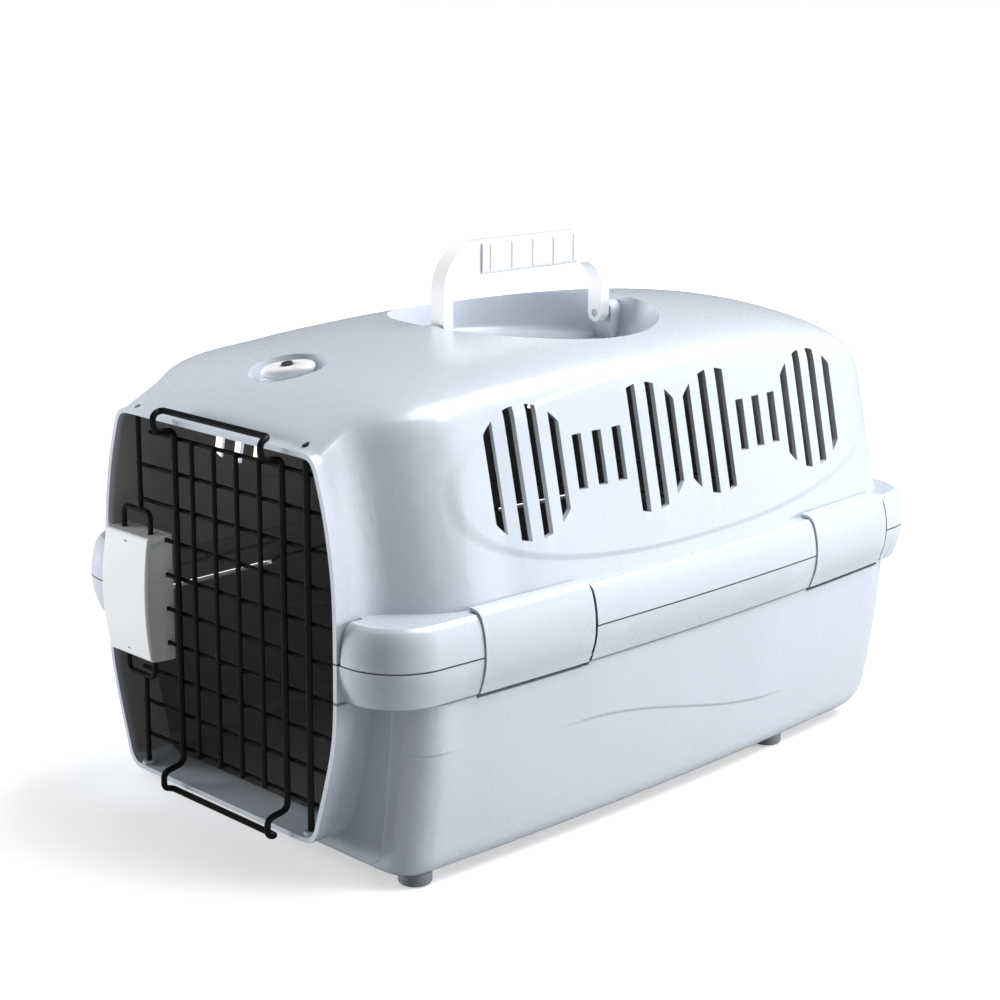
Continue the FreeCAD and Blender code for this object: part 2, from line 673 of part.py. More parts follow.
def add_slot(sketch, long_alias, wide_alias):
    """Round-ended bar centred on the sketch origin, along the sketch's X."""
    r = dim(wide_alias) / 2.0
    h = dim(long_alias) / 2.0 - r
    quarter = math.pi / 2

    def line(x0, y0, x1, y1):
        return sketch.addGeometry(Part.LineSegment(Vector(x0, y0, 0), Vector(x1, y1, 0)), False)

    def end(x, first):
        circle = Part.Circle(Vector(x, 0, 0), Vector(0, 0, 1), r)
        return sketch.addGeometry(Part.ArcOfCircle(circle, first, first + math.pi), False)

    outline = [line(-h, -r, h, -r), end(h, -quarter), line(h, r, -h, r), end(-h, quarter)]
    for i in range(4):
        sketch.addConstraint(
            Sketcher.Constraint("Tangent", outline[i], 2, outline[(i + 1) % 4], 1))
    bottom, right_end, _, left_end = outline
    sketch.addConstraint(Sketcher.Constraint("Horizontal", bottom))
    sketch.addConstraint(Sketcher.Constraint("Symmetric", right_end, 3, left_end, 3, -1, 1))
    constrain(sketch, "$%s / 2" % wide_alias, "Radius", right_end, r)
    constrain(sketch, "$%s - $%s" % (long_alias, wide_alias),
              "DistanceX", left_end, 3, right_end, 3, 2 * h)


def pad(body, sketch, formula, name):
    doc.recompute()
    feature = body.newObject("PartDesign::Pad", name)
    feature.Profile = sketch
    bind(feature, "Length", formula)
    sketch.Visibility = False
    body.Tip = feature
    doc.recompute()
    return feature


def pad_disc(body, sketch_name, radius, name, length, lift=0.0):
    sketch = new_sketch(body, sketch_name, lift=lift)
    add_circle(sketch, radius)
    return pad(body, sketch, length, name)


def pocket(body, sketch, length, name):
    """Pocket cut along the sketch's normal."""
    doc.recompute()
    feature = body.newObject("PartDesign::Pocket", name)
    feature.Profile = sketch
    feature.Length = length
    feature.Reversed = True
    body.Tip = feature
    doc.recompute()


def round_level_edges(body, base, z, radius, name):
    """Fillet the edges of the base feature that lie flat at height z."""
    edges = ["Edge%d" % (i + 1) for i, e in enumerate(base.Shape.Edges)
             if abs(e.BoundBox.ZMin - z) < 0.01 and abs(e.BoundBox.ZLength) < 0.01]
    feature = body.newObject("PartDesign::Fillet", name)
    feature.Base = (base, edges)
    feature.Radius = radius
    body.Tip = feature
    doc.recompute()


# ---- carrying handle: flat arch with a grooved grip, and its two pins --------
ARCH_RAD = 30.0                                 # outer corners of the arch
TOE_RAD = 6.0                                   # round leg ends about the pivot
GRIP_TOP = dim("handle_top")
GRIP_LOW = GRIP_TOP - dim("grip_deep")


def arch_outline():
    """Outer then inner contour in (y, z), closed round the toe of each leg."""
    outer, inner = HANDLE_HALF, HANDLE_HALF - dim("leg_thk")
    front_out, front_in = DISH_Y - outer, DISH_Y - inner
    rear_out, rear_in = DISH_Y + outer, DISH_Y + inner
    out_rad = ARCH_RAD
    in_rad = ARCH_RAD - dim("leg_thk") - 3.0
    out_z, in_z = GRIP_TOP - out_rad, GRIP_LOW - in_rad      # centres of the corners
    toe_z = PIVOT_Z - TOE_RAD
    quarter = math.pi / 2

    def line(y0, z0, y1, z1):
        return Part.LineSegment(Vector(y0, z0, 0), Vector(y1, z1, 0))

    def arc(y, z, radius, first):
        circle = Part.Circle(Vector(y, z, 0), Vector(0, 0, 1), radius)
        return Part.ArcOfCircle(circle, first, first + quarter)

    return [
        line(front_out, PIVOT_Z, front_out, out_z),
        arc(front_out + out_rad, out_z, out_rad, quarter),
        line(front_out + out_rad, GRIP_TOP, rear_out - out_rad, GRIP_TOP),
        arc(rear_out - out_rad, out_z, out_rad, 0),
        line(rear_out, out_z, rear_out, PIVOT_Z),
        line(rear_out, PIVOT_Z, rear_out, toe_z),
        line(rear_out, toe_z, rear_in, toe_z),
        line(rear_in, toe_z, rear_in, in_z),
        arc(rear_in - in_rad, in_z, in_rad, 0),
        line(rear_in - in_rad, GRIP_LOW, front_in + in_rad, GRIP_LOW),
        arc(front_in + in_rad, in_z, in_rad, quarter),
        line(front_in, in_z, front_in, toe_z),
        line(front_in, toe_z, front_out, toe_z),
        line(front_out, toe_z, front_out, PIVOT_Z)]


def carry_handle():
    grip_wide, grip_deep = dim("grip_wide"), dim("grip_deep")
    body = new_body("CarryHandle")
    sketch = new_sketch(body, "ArchOutline", "YZ_Plane", -dim("leg_wide") / 2.0)
    bind(sketch, "AttachmentOffset.Base.z", "-$leg_wide / 2")
    sketch.addGeometry(arch_outline(), False)
    pad(body, sketch, "$leg_wide", "Arch")
    sketch = new_sketch(body, "GripOutline", "YZ_Plane", -grip_wide / 2.0)
    bind(sketch, "AttachmentOffset.Base.z", "-$grip_wide / 2")
    add_rect(sketch, DISH_Y - HANDLE_HALF + ARCH_RAD + 2, GRIP_LOW - 0.6,
             DISH_Y + HANDLE_HALF - ARCH_RAD - 2, GRIP_TOP + 0.4,
             ["$dish_mid - $handle_half + 32", "$handle_top - $grip_deep - 0.6",
              "$dish_mid + $handle_half - 32", "$handle_top + 0.4"])
    pad(body, sketch, "$grip_wide", "Grip")

    # round the toes about the pivot and bore them
    toes = box(-20, 20, DISH_Y - 100, DISH_Y + 100, PIVOT_Z - TOE_RAD - 1, PIVOT_Z)
    shape = body.Shape.copy().cut(toes.cut(rod((0, DISH_Y - 100, PIVOT_Z), REAR, TOE_RAD, 200)))
    shape = shape.cut([rod((0, y, PIVOT_Z), REAR, dim("pin_rad") + CLEAR, 12.0)
                       for y in (DISH_Y - HANDLE_HALF - 1, DISH_Y + HANDLE_HALF - 11)])
    # soften the grip: keep only what lies inside a rounded bar
    y0 = DISH_Y - HANDLE_HALF + ARCH_RAD + 1.0
    y1 = DISH_Y + HANDLE_HALF - ARCH_RAD - 1.0
    soft = Part.makeBox(grip_wide, y1 - y0 + 4, grip_deep + 1.0,
                        Vector(-grip_wide / 2, y0 - 2, GRIP_LOW - 0.6))
    soft = soft.makeFillet(4.2, [e for e in soft.Edges if e.BoundBox.YLength > 40])
    shape = shape.cut(box(-12, 12, y0, y1, GRIP_LOW - 3, GRIP_TOP + 3).cut(soft))
    # upright grooves down both flanks of the grip
    groove_pitch, groove_rad = 19.0, 1.5
    grooves = [rod((sign * (grip_wide / 2 + 0.5), DISH_Y + groove_pitch * k, GRIP_LOW - 2),
                   UP, groove_rad, grip_deep + 6)
               for k in range(-2, 3) for sign in (1, -1)]
    add_piece("CarryHandleFinished", "carry_handle", shape.cut(grooves))


def handle_pins():
    for tag, sign in (("front", -1), ("rear", 1)):
        body = new_body("HandlePin" + tag)
        pad_disc(body, "PinCircle" + tag, "$pin_rad", "PinPad" + tag, "$pin_long")
        keep(body, "handle_pin_" + tag,
             Placement(Vector(0, DISH_Y + sign * (HANDLE_HALF - 7.0), PIVOT_Z),
                       Rotation(Vector(1, 0, 0), -90 * sign)))


carry_handle()
handle_pins()


# ---- brow knob: a wing on a round foot, turning on a pin in the bowl ---------
def brow_knob():
    body = new_body("BrowKnob")
    pad_disc(body, "KnobFoot", "$knob_rad", "FootPad", "$knob_foot")
    wing_z = dim("knob_foot") - OVERLAP
    sketch = new_sketch(body, "KnobWing", lift=wing_z)
    add_slot(sketch, "knob_long", "knob_wide")
    wing = pad(body, sketch, "$knob_tall", "WingPad")
    round_level_edges(body, wing, wing_z + dim("knob_tall"), 2.2, "WingRounding")
    sketch = new_sketch(body, "KnobBore", lift=-1)
    add_circle(sketch, "$knob_pin + $pin_clear")
    pocket(body, sketch, 30, "Bore")
    keep(body, "brow_knob",
         Placement(BOWL_FLOOR + BOWL_AXIS * 0.25,
                   BOWL_TURN.multiply(Rotation(Vector(0, 0, 1), -42.0))))


def knob_pin():
    body = new_body("KnobPin")
    pad_disc(body, "KnobPinShank", "$knob_pin", "Shank", "$knob_pin_long")
    pad_disc(body, "KnobPinHead", "$knob_pin_head", "Head", "$head_tall",
             lift=dim("knob_pin_long") - OVERLAP)
    keep(body, "knob_pin", Placement(BOWL_FLOOR - BOWL_AXIS * 7.4, BOWL_TURN))


def feet():
    body = new_body("FootMaster")
    base = pad_disc(body, "FootCircle", "$foot_rad", "FootPad2", "$foot_tall")
    round_level_edges(body, base, 0.0, 1.6, "FootEdge")
    shapes = []
    for x, y in FEET:
        foot = body.Shape.copy()
        foot.Placement = Placement(Vector(x, y, 0), Rotation())
        shapes.append(foot)
    add_piece("Feet", "feet", Part.makeCompound(shapes))


brow_knob()
knob_pin()
feet()

# ---- door grid and the wire bail that wraps both lips ------------------------
# The cross wires lie behind the uprights, pressed into them by the weld.
CROSS_Y = -dim("door_plane") + dim("mesh_rad") + dim("cross_rad") - 0.35
ROW_Z = [dim("row_top") - dim("row_pitch") * k for k in range(10)]
BOX_ROWS = [z for z in ROW_Z if dim("box_low") < z < dim("box_high")]


def opening_half(z):
    """Half width of the clear opening at height z."""
    return pchip(sorted((z_rim, x) for x, z_rim in TOP_RIM[:7] + LOW_RIM[1:8]), z) - WALL


def door_mesh():
    wires = []
    for k, z in enumerate(ROW_Z):
        right = min(opening_half(z - 3), opening_half(z + 3)) - 3.5
        left = -min(right, 86.0)
        if z in BOX_ROWS:
            left = -74.0                        # ends inside the latch housing
        if k == 0:
            left = -72.0
        wires.append(rod((left, CROSS_Y, z), RIGHT, dim("cross_rad"), right - left))
    overhang = 1.6
    for k in range(4):
        wires.append(rod((-28.0 + dim("mesh_pitch") * k, -dim("door_plane"),
                          ROW_Z[-1] - overhang),
                         UP, dim("mesh_rad"), ROW_Z[0] - ROW_Z[-1] + 2 * overhang))
    hinge_low, hinge_top = 24.9, 255.2
    hinge = rod((HINGE_X, HINGE_Y, hinge_low), UP, dim("hinge_rad"), hinge_top - hinge_low)
    return wires[0].fuse(wires[1:] + [hinge])


def door_bail():
    left, right = -43.5, 56.6
    middle = (left + right) / 2
    grid_y = CROSS_Y - dim("cross_rad") - dim("bail_rad") - 0.02     # along the grid
    lip_y = -231.5                                                   # over and under the lips
    nose_y = -237.6                                                  # in front of the lips
    top, low = 257.4, 22.4
    # (y, z) down the right side, then back up the left
    drop = [(lip_y, top), (nose_y, top - 2.0), (nose_y, 245.6), (grid_y, 243.6),
            (grid_y, 36.5), (nose_y, 34.0), (nose_y, low + 1.5), (lip_y, low)]
    points = ([(middle, lip_y, top)] + [(right, y, z) for y, z in drop]
              + [(left, y, z) for y, z in reversed(drop)] + [(middle - 0.4, lip_y, top)])
    return bent_wire(points, dim("bail_rad"), 4.6)


add_piece("DoorMesh", "door_mesh", door_mesh())
add_piece("DoorBail", "door_bail", door_bail())

# ---- latch housing: bolts, bowed cover in front, flat plate behind, springs --
BOX_X0, BOX_X1 = -dim("box_left"), -dim("box_right")
BOX_Z0, BOX_Z1 = dim("box_low"), dim("box_high")
BOX_FRONT, BOX_BACK = -dim("box_front"), -dim("box_back")
BOX_MID_X = (BOX_X0 + BOX_X1) / 2.0
BOX_MID_Z = (BOX_Z0 + BOX_Z1) / 2.0
BOLT_LEG_HALF = 13.5                            # the legs stand this far off the middle
BOLT_LEG_END = 22.0                             # height of the leg ends off the middle
BOLT_CROSS_RAD = dim("bolt_rad") * 1.15
SCREWS = [(BOX_MID_X, BOX_Z1 - 5.6), (BOX_MID_X, BOX_Z0 + 5.6)]
PLATE_Y = BOX_BACK + 0.05                       # front face of the back plate


def bolt(sign, tip):
    """sign +1 upper, -1 lower: rod, cross bar and two legs into the housing."""
    radius = dim("bolt_rad")
    bar = BOX_MID_Z + sign * ((BOX_Z1 - BOX_Z0) / 2.0 + 13.0)
    end = BOX_MID_Z + sign * BOLT_LEG_END
    left, right = BOX_MID_X - BOLT_LEG_HALF, BOX_MID_X + BOLT_LEG_HALF
    legs = bent_wire([(left, BOLT_Y, end), (left, BOLT_Y, bar), (right, BOLT_Y, bar),
                      (right, BOLT_Y, end)], radius, 4.5)
    shaft = rod((BOLT_X, BOLT_Y, min(bar, tip)), UP, radius, abs(tip - bar))
    cross = rod((left - 1.5, BOLT_Y, end), RIGHT, BOLT_CROSS_RAD, right - left + 3.0)
    return legs.fuse([shaft, cross])


def housing_outline(y, inset, swell):
    """Outline at depth y whose left and right sides bow out by swell."""
    x0, x1 = BOX_X0 + inset, BOX_X1 - inset
    z0, z1 = BOX_Z0 + inset, BOX_Z1 - inset
    low_left, low_right = Vector(x0, y, z0), Vector(x1, y, z0)
    top_left, top_right = Vector(x0, y, z1), Vector(x1, y, z1)
    middle = (z0 + z1) / 2
    return Part.Wire([
        Part.makeLine(low_left, low_right),
        Part.Arc(low_right, Vector(x1 + swell, y, middle), top_right).toShape(),
        Part.makeLine(top_right, top_left),
        Part.Arc(top_left, Vector(x0 - swell, y, middle), low_left).toShape()])


def latch_cover():
    front = BOX_FRONT - dim("box_bulge")
    crown_rad, crown_wall = 190.0, 2.2
    crown_start = (-200, front + crown_rad, BOX_MID_Z)
    outer = Part.makeLoft([housing_outline(BOX_BACK, 0.0, 0.05),
                           housing_outline(front, 1.0, 1.4)], True, False)
    outer = outer.common(rod(crown_start, RIGHT, crown_rad, 200.0))
    # guards against the fillet of the front edges failing: they then stay sharp
    try:
        front_edges = [e for e in outer.Edges if e.BoundBox.YMax < BOX_FRONT + 4.0]
        outer = outer.makeFillet(1.8, front_edges)
    except Exception:
        pass
    inner = Part.makeLoft([housing_outline(BOX_BACK + 3, 2.0, 0.05),
                           housing_outline(front + 2.6, 2.6, 1.0)], True, False)
    cover = outer.cut(inner.common(rod(crown_start, RIGHT, crown_rad - crown_wall, 200.0)))

    tools = []
    reach = dim("cross_rad") + 0.25             # notches for the grid wires
    for z in BOX_ROWS:
        tools.append(box(BOX_X1 - 17, BOX_X1 + 6, CROSS_Y - reach, BOX_BACK + 2,
                         z - reach, z + reach))
    reach = dim("bolt_rad") + 0.35              # mouths for the bolt legs
    for z in (BOX_Z1, BOX_Z0):
        for x in (BOX_MID_X - BOLT_LEG_HALF, BOX_MID_X + BOLT_LEG_HALF):
            tools.append(box(x - reach, x + reach, BOLT_Y - reach, BOX_BACK + 2, z - 6, z + 6))
    cover = cover.cut(tools)

    # screw posts, and a web between the two springs
    cover = cover.fuse([rod((x, BOX_FRONT + 1.2, z), REAR, 2.9, BOX_BACK - BOX_FRONT - 1.3)
                        for x, z in SCREWS])
    cover = cover.fuse(box(BOX_X0 + 1.0, BOX_X1 - 1.0, BOX_FRONT - 0.5,
                           CROSS_Y - dim("cross_rad") - 1.0, BOX_MID_Z - 1.0, BOX_MID_Z + 1.0))
    # screw bores from behind, and a short level slot in the front face over each
    bores = [rod((x, BOX_FRONT + 4.0, z), REAR, dim("screw_rad") + 0.05, 30.0)
             for x, z in SCREWS]
    slots = [box(x - 1.7, x + 1.7, BOX_FRONT - 8.0, BOX_FRONT + 0.9, z - 0.5, z + 0.5)
             for x, z in SCREWS]
    return cover.cut(bores + slots)


def latch_back_plate():
    body = new_body("LatchBackPlate")
    sketch = new_sketch(body, "PlateOutline", "XZ_Plane")
    add_rect(sketch, BOX_X0 + 0.2, BOX_Z0 + 0.2, BOX_X1 - 0.2, BOX_Z1 - 0.2,
             ["-$box_left + 0.2", "$box_low + 0.2", "-$box_right - 0.2", "$box_high - 0.2"])
    pad(body, sketch, "$plate_thk", "PlatePad")
    sketch = new_sketch(body, "ScrewHoles", "XZ_Plane", -20)
    for x, z in SCREWS:
        add_circle(sketch, "$screw_rad + 0.1", x, z)
    pocket(body, sketch, 60, "ScrewBores")
    # the pad grows towards -Y from its sketch plane
    keep(body, "latch_back_plate",
         Placement(Vector(0, PLATE_Y + dim("plate_thk"), 0), Rotation()))


def latch_screws():
    """Screws entering from behind, their heads just clear of the back plate."""
    body = new_body("LatchScrewMaster")
    head_lift = dim("screw_long") - OVERLAP
    pad_disc(body, "ScrewShank", "$screw_rad - 0.05", "ScrewShankPad", "$screw_long")
    pad_disc(body, "ScrewHead", "$screw_head_rad", "ScrewHeadPad", "$head_tall", lift=head_lift)
    shapes = []
    for x, z in SCREWS:
        screw = body.Shape.copy()
        screw.Placement = Placement(
            Vector(x, PLATE_Y + dim("plate_thk") + 0.05 - head_lift, z),
            Rotation(Vector(1, 0, 0), -90))
        shapes.append(screw)
    add_piece("LatchScrews", "latch_screws", Part.makeCompound(shapes))


def spring(low, high):
    turns, wire_rad = 6.0, dim("spring_wire")
    height = high - low - 2 * wire_rad
    helix = Part.makeHelix(height / turns, height, dim("spring_rad"))
    helix.Placement = Placement(Vector(BOX_MID_X, BOLT_Y, low + wire_rad), Rotation())
    edge = helix.Edges[0]
    ring = Part.Wire([Part.makeCircle(wire_rad, edge.valueAt(edge.FirstParameter),
                                      edge.tangentAt(edge.FirstParameter))])
    return Part.Wire(helix.Edges).makePipeShell([ring], True, True)


for tag, sign, tip in (("upper", 1, 248.7), ("lower", -1, 29.6)):
    add_piece(tag + "_latch_bolt", tag + "_latch_bolt", bolt(sign, tip))
add_piece("LatchCover", "latch_cover", latch_cover())
latch_back_plate()
latch_screws()
# each spring stands between the web and the cross bar of its bolt
for tag, sign in (("upper", 1), ("lower", -1)):
    ends = sorted(BOX_MID_Z + sign * reach
                  for reach in (1.3, BOLT_LEG_END - BOLT_CROSS_RAD - 0.3))
    add_piece(tag + "_latch_spring", tag + "_latch_spring", spring(*ends))

# ---- state of every object, then export --------------------------------------
doc.recompute()
bad = []
for obj in doc.Objects:
    if any(state in ("Invalid", "Error") for state in obj.State):
        bad.append((obj.Label, list(obj.State)))
for obj, name in PARTS:
    if obj.Shape.isNull() or not obj.Shape.isValid() or not obj.Shape.Solids:
        bad.append((name, "shape"))
if bad:
    raise RuntimeError("failed objects: %s" % bad)
for obj, name in PARTS:
    obj.Shape.exportStep("parts/%s.step" % name)
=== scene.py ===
# A hard-shell carrier box with a wire door, a carry handle and side latches.
# It stands on z = 0 with its length along Y and the door facing -Y. The frame pieces
# get materials and smooth shading here; the door welds and the turn knob are built.
import math
from functools import cached_property

import bmesh
import bpy
from mathutils import Matrix, Vector


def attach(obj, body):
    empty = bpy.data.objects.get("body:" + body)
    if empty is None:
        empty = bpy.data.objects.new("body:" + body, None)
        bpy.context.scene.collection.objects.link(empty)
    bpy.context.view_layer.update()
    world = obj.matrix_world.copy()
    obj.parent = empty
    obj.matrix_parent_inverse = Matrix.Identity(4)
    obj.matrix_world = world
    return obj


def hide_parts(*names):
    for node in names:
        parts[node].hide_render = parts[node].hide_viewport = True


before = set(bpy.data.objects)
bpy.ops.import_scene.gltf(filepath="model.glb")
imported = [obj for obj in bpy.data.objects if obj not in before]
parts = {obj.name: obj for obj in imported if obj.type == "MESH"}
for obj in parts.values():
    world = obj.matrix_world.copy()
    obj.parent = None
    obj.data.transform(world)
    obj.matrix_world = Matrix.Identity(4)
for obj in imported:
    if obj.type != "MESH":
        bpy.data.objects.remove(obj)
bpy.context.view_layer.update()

scene = bpy.context.scene
for stray in ("Cube", "Light", "Camera"):
    if stray in bpy.data.objects and stray not in parts:
        bpy.data.objects.remove(bpy.data.objects[stray])

WHITE = (1.0, 1.0, 1.0)


# ------------------------------------------------------------ shader building
def operator(kind):
    return lambda self, *others: self.tree.calc(kind, self, *others)


class Value:
    """An output socket; arithmetic on it adds Math nodes to its tree."""

    def __init__(self, tree, socket):
        self.tree = tree
        self.socket = socket

    __add__ = operator("ADD")
    __sub__ = operator("SUBTRACT")
    __mul__ = operator("MULTIPLY")
    __truediv__ = operator("DIVIDE")
    __pow__ = operator("POWER")
    __gt__ = operator("GREATER_THAN")
    __lt__ = operator("LESS_THAN")
    __abs__ = operator("ABSOLUTE")

    def __rsub__(self, other):
        return self.tree.calc("SUBTRACT", other, self)


class ShaderTree:
    """Adds and links nodes in the tree of a material or world."""

    def __init__(self, owner):
        owner.use_nodes = True
        self.owner = owner
        self.nodes = owner.node_tree.nodes
        self.links = owner.node_tree.links

    def feed(self, node, values):
        """Link each Value, or store each number or RGB colour, by input name or index."""
        for key, value in values.items():
            socket = node.inputs[key]
            if isinstance(value, Value):
                self.links.new(value.socket, socket)
            elif socket.type == "RGBA":
                socket.default_value = (*value, 1)
            else:
                socket.default_value = value

    def node(self, kind, values, **settings):
        node = self.nodes.new(kind)
        for key, setting in settings.items():
            setattr(node, key, setting)
        self.feed(node, values)
        return node

    def add(self, kind, values, output=0, **settings):
        """Add a node and return one of its outputs."""
        return Value(self, self.node(kind, values, **settings).outputs[output])

    def calc(self, operation, *operands):
        return self.add("ShaderNodeMath", dict(enumerate(operands)), operation=operation)

    def camera_switch(self, unseen, seen):
        """The second shader for camera rays, the first for all others."""
        is_camera = self.add("ShaderNodeLightPath", {}, "Is Camera Ray")
        return self.add("ShaderNodeMixShader", {0: is_camera, 1: unseen, 2: seen})


class MaterialTree(ShaderTree):
    """A new material with a Principled surface."""

    def __init__(self, name):
        super().__init__(bpy.data.materials.new(name))
        self.nodes.clear()
        self.output = self.nodes.new("ShaderNodeOutputMaterial")
        self.bsdf = self.nodes.new("ShaderNodeBsdfPrincipled")
        self.surface = Value(self, self.bsdf.outputs[0])
        self.feed(self.output, {"Surface": self.surface})

    @cached_property
    def position(self):
        return self.add("ShaderNodeTexCoord", {}, "Object")

    @cached_property
    def geometry_node(self):
        return self.nodes.new("ShaderNodeNewGeometry")

    def geometry(self, output):
        return Value(self, self.geometry_node.outputs[output])

    def split(self, vector):
        """The x, y and z of a vector."""
        node = self.node("ShaderNodeSeparateXYZ", {0: vector})
        return [Value(self, output) for output in node.outputs]

    def noise(self, scale, detail, roughness=0.5):
        return self.add("ShaderNodeTexNoise", {
            "Scale": scale, "Detail": detail, "Roughness": roughness,
            "Vector": self.position}, "Fac")

    def rise(self, value, band):
        """Smooth step from 0 to 1 across the band (start, end)."""
        return self.add("ShaderNodeMapRange", {0: value, 1: band[0], 2: band[1]},
                        interpolation_type="SMOOTHSTEP")

    def mix(self, share, first, second):
        return self.add("ShaderNodeMix", {0: share, 6: first, 7: second}, 2,
                        data_type="RGBA")

    def bump(self, height, strength, distance, normal=None):
        values = {"Strength": strength, "Distance": distance, "Height": height}
        if normal is not None:
            values["Normal"] = normal
        return self.add("ShaderNodeBump", values)


def tint(color, gain, lift=0.0):
    return tuple(min(1.0, channel * gain + lift) for channel in color)


# ------------------------------------------------------ shell relief and painted shade masks
def upper_relief(tree, normal):
    """Raised oval field round the vent slots, as a soft step."""
    center_y, center_z = 0.042, 0.2215
    half_length, half_height = 0.200, 0.0525
    power = 2.3                     # superellipse exponent
    edge = (0.965, 1.035)           # where the step falls, 1 being the outline
    side_x = 0.100                  # the step is kept to the sides beyond this
    x, y, z = tree.split(tree.position)
    side = abs(x) > side_x
    along = (y - center_y) / half_length
    upward = (z - center_z) / half_height
    radius = (abs(along) ** power + abs(upward) ** power) ** (1.0 / power)
    field = 1.0 - tree.rise(radius, edge)
    return tree.bump(field * side, strength=0.85, distance=0.0012, normal=normal)


def lower_relief(tree, normal):
    """Long swept crease on each side of the base and a short one at each front corner."""
    front_z, drop = 0.0775, 0.031   # the long crease falls by the drop towards the rear
    drop_y = (-0.075, 0.125)
    long_step = (-0.0012, 0.0012)
    long_start_y, long_end_y = (-0.100, -0.055), (0.095, 0.140)
    long_side_x = 0.120
    corner_z = 0.0845
    corner_step = (-0.0009, 0.0009)
    corner_end_y = (-0.192, -0.170)
    corner_side_x = 0.1135
    x, y, z = tree.split(tree.position)

    crease_z = front_z - tree.rise(y, drop_y) * drop
    step = tree.rise(z - crease_z, long_step)
    fade = tree.rise(y, long_start_y) * (1.0 - tree.rise(y, long_end_y))
    long_crease = step * fade * (abs(x) > long_side_x)

    step = tree.rise(z - corner_z, corner_step)
    fade = 1.0 - tree.rise(y, corner_end_y)
    corner_crease = step * fade * (abs(x) > corner_side_x)
    return tree.bump(long_crease + corner_crease, strength=0.8, distance=0.0011,
                     normal=normal)


def belt_reach(x, y):
    """Distance out from the middle plane, corrected for the bow of the belt's sides."""
    offset = y + 0.02475            # the belt is widest at y = -0.02475
    return abs(x) + offset * offset / 5.62


def cabin_shade_mask(tree):
    """Painted shade mask: 1 on the faces that look back towards the cabin middle."""
    cabin_middle = (0.0, 0.02, 0.145)
    facing_limit = -0.004
    dish_y, dish_radius, dish_floor_z = 0.024, 0.0925, 0.2665
    bowl_back_y, bowl_half_width, bowl_floor_z = -0.140, 0.032, 0.2655
    ceiling_normal_z = -0.6         # normals lower than this belong to the ceiling
    sill_normal_z = 0.6             # normals higher than this belong to the sill
    belt_inner, belt_rear_y = 0.1500, 0.2675
    wall_fade_y = (-0.2290, -0.2235)
    sill_fade_y = (-0.2130, -0.1880)

    outward = tree.add("ShaderNodeVectorMath", {0: tree.position, 1: cabin_middle},
                       operation="SUBTRACT")
    facing = tree.add("ShaderNodeVectorMath",
                      {0: outward, 1: tree.geometry("True Normal")},
                      "Value", operation="DOT_PRODUCT")
    inner = facing < facing_limit
    x, y, z = tree.split(tree.position)
    normal_z = tree.split(tree.geometry("True Normal"))[2]

    # the roof dish, the brow bowl and the belt stay outside
    from_dish = tree.calc("SQRT", x ** 2.0 + (y - dish_y) ** 2.0)
    dish = (z > dish_floor_z) * (from_dish < dish_radius) * (normal_z > ceiling_normal_z)
    bowl = (y < bowl_back_y) * ((z > bowl_floor_z) * (normal_z > ceiling_normal_z))
    bowl = bowl * (abs(x) < bowl_half_width)
    belt = tree.calc("MAXIMUM", belt_reach(x, y) > belt_inner, y > belt_rear_y)
    outside = tree.calc("MAXIMUM", tree.calc("MAXIMUM", dish, bowl), belt)

    # the walls get painted shade deepening from the lip inward, the sill only from behind
    # the door
    sill = normal_z > sill_normal_z
    depth = tree.rise(y, sill_fade_y) * sill + tree.rise(y, wall_fade_y) * (1.0 - sill)
    return inner * (1.0 - outside) * depth


def crease_shade_mask(tree):
    """Painted shade along lines where parts meet: the seam, the belt's underside, the latch
    pocket walls.
    """
    seam_z, seam_fade = 0.138, (0.00015, 0.00075)
    under_z, under_fade, under_share = 0.1150, (0.0003, 0.0016), 0.75
    wall_normal_y = 0.75            # pocket end walls face along Y
    pocket_inner, pocket_end_y, pocket_half_height = 0.1512, 0.236, 0.0245
    x, y, z = tree.split(tree.position)
    normal_y = tree.split(tree.geometry("True Normal"))[1]
    from_seam = abs(z - seam_z)
    seam = 1.0 - tree.rise(from_seam, seam_fade)
    under = (1.0 - tree.rise(abs(z - under_z), under_fade)) * under_share
    wall = (abs(normal_y) > wall_normal_y) * (belt_reach(x, y) > pocket_inner)
    wall = wall * (abs(y) < pocket_end_y) * (from_seam < pocket_half_height)
    return tree.calc("MAXIMUM", tree.calc("MAXIMUM", seam, under), wall)


# ------------------------------------------------------------------ materials
BLUE = (0.545, 0.600, 0.675)
LATCH_BLUE = (0.545, 0.600, 0.672)
# painted shade: the faces inside the cabin are drawn dark grey, as if in shadow
CABIN_SHADE = (0.30, 0.303, 0.308)
# painted shade for the seam, the belt's underside and the latch pocket walls
CREASE_SHADE = (0.035, 0.037, 0.042)


